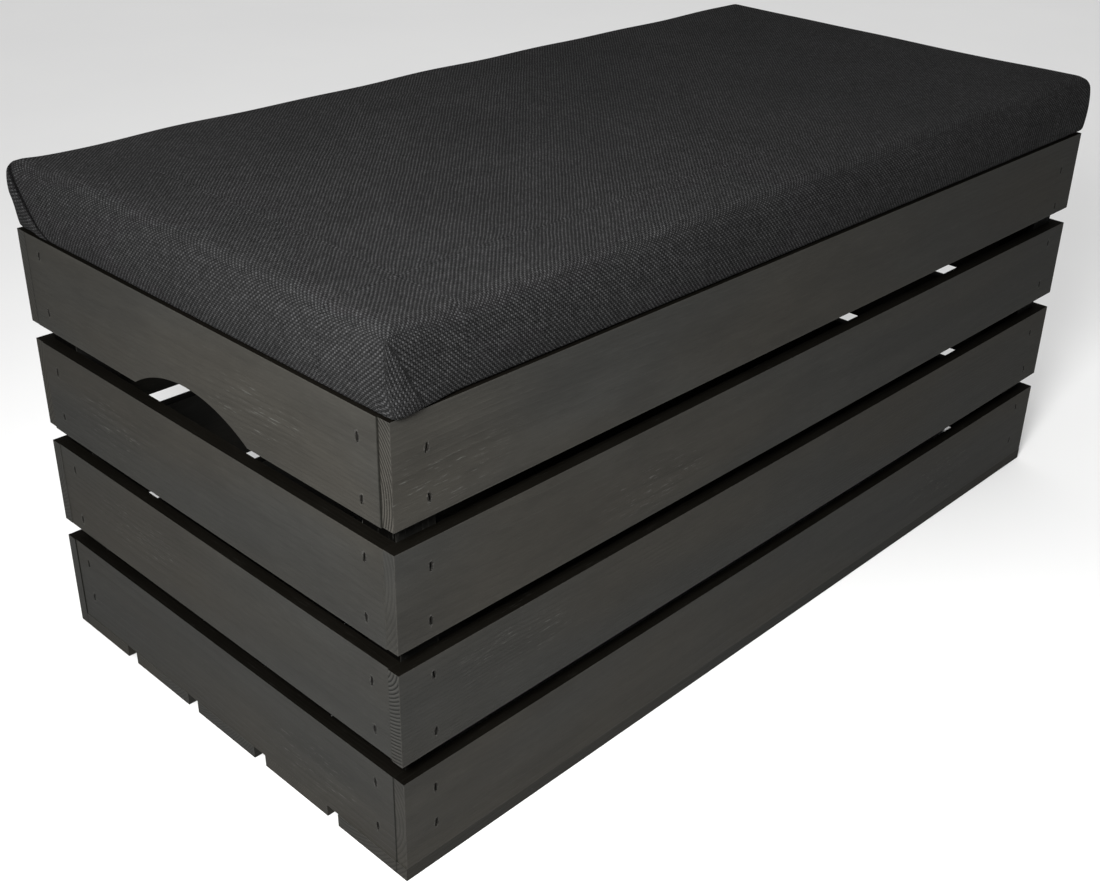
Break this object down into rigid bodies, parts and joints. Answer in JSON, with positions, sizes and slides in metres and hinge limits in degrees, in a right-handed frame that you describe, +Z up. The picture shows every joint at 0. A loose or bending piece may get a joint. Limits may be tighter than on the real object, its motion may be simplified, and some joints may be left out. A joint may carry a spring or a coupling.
{
  "type": "storage bench",
  "caption": "Slatted wooden storage crate used as a bench, with a padded fabric lid that lifts off and an arched hand hole in each end.",
  "frame": {"origin": "on the floor under the middle of the bench", "axes": "+X along the length towards the right end, +Y from the front to the back, +Z up"},
  "size_m": [0.8, 0.4, 0.38],
  "materials": {
    "stained_pine": "pine stained charcoal grey, matt, grain and knots showing through",
    "staple_steel": "steel staple crowns, stained over with the wood",
    "plywood": "raw plywood",
    "foam": "open-cell polyurethane foam",
    "upholstery": "charcoal melange basket-weave upholstery fabric",
    "lining": "black non-woven dust cloth",
    "batten_pine": "planed raw pine",
    "zinc_steel": "zinc-plated steel"
  },
  "bodies": {
    "crate": {"front_board_1": "stained_pine", "front_board_2": "stained_pine", "front_board_3": "stained_pine", "front_board_4": "stained_pine", "back_board_1": "stained_pine", "back_board_2": "stained_pine", "back_board_3": "stained_pine", "back_board_4": "stained_pine", "left_handle_board": "stained_pine", "left_board_2": "stained_pine", "left_board_3": "stained_pine", "left_board_4": "stained_pine", "right_handle_board": "stained_pine", "right_board_2": "stained_pine", "right_board_3": "stained_pine", "right_board_4": "stained_pine", "front_left_post": "stained_pine", "front_right_post": "stained_pine", "back_left_post": "stained_pine", "back_right_post": "stained_pine", "floor_board_1": "stained_pine", "floor_board_2": "stained_pine", "floor_board_3": "stained_pine", "floor_board_4": "stained_pine", "floor_board_5": "stained_pine", "front_staples": "staple_steel", "back_staples": "staple_steel", "left_staples": "staple_steel", "right_staples": "staple_steel", "floor_staples": "staple_steel"},
    "lid": {"lid_board": "plywood", "foam_pad": "foam", "fabric_cover": "upholstery", "lid_lining": "lining", "left_batten": "batten_pine", "right_batten": "batten_pine", "batten_screws": "zinc_steel", "lid_staples": "zinc_steel"}
  },
  "joints": [
    {"name": "lid_lift", "type": "slide", "parent": "crate", "child": "lid", "axis": [0, 0, 1], "range_m": [0, 0.2]}
  ]
}
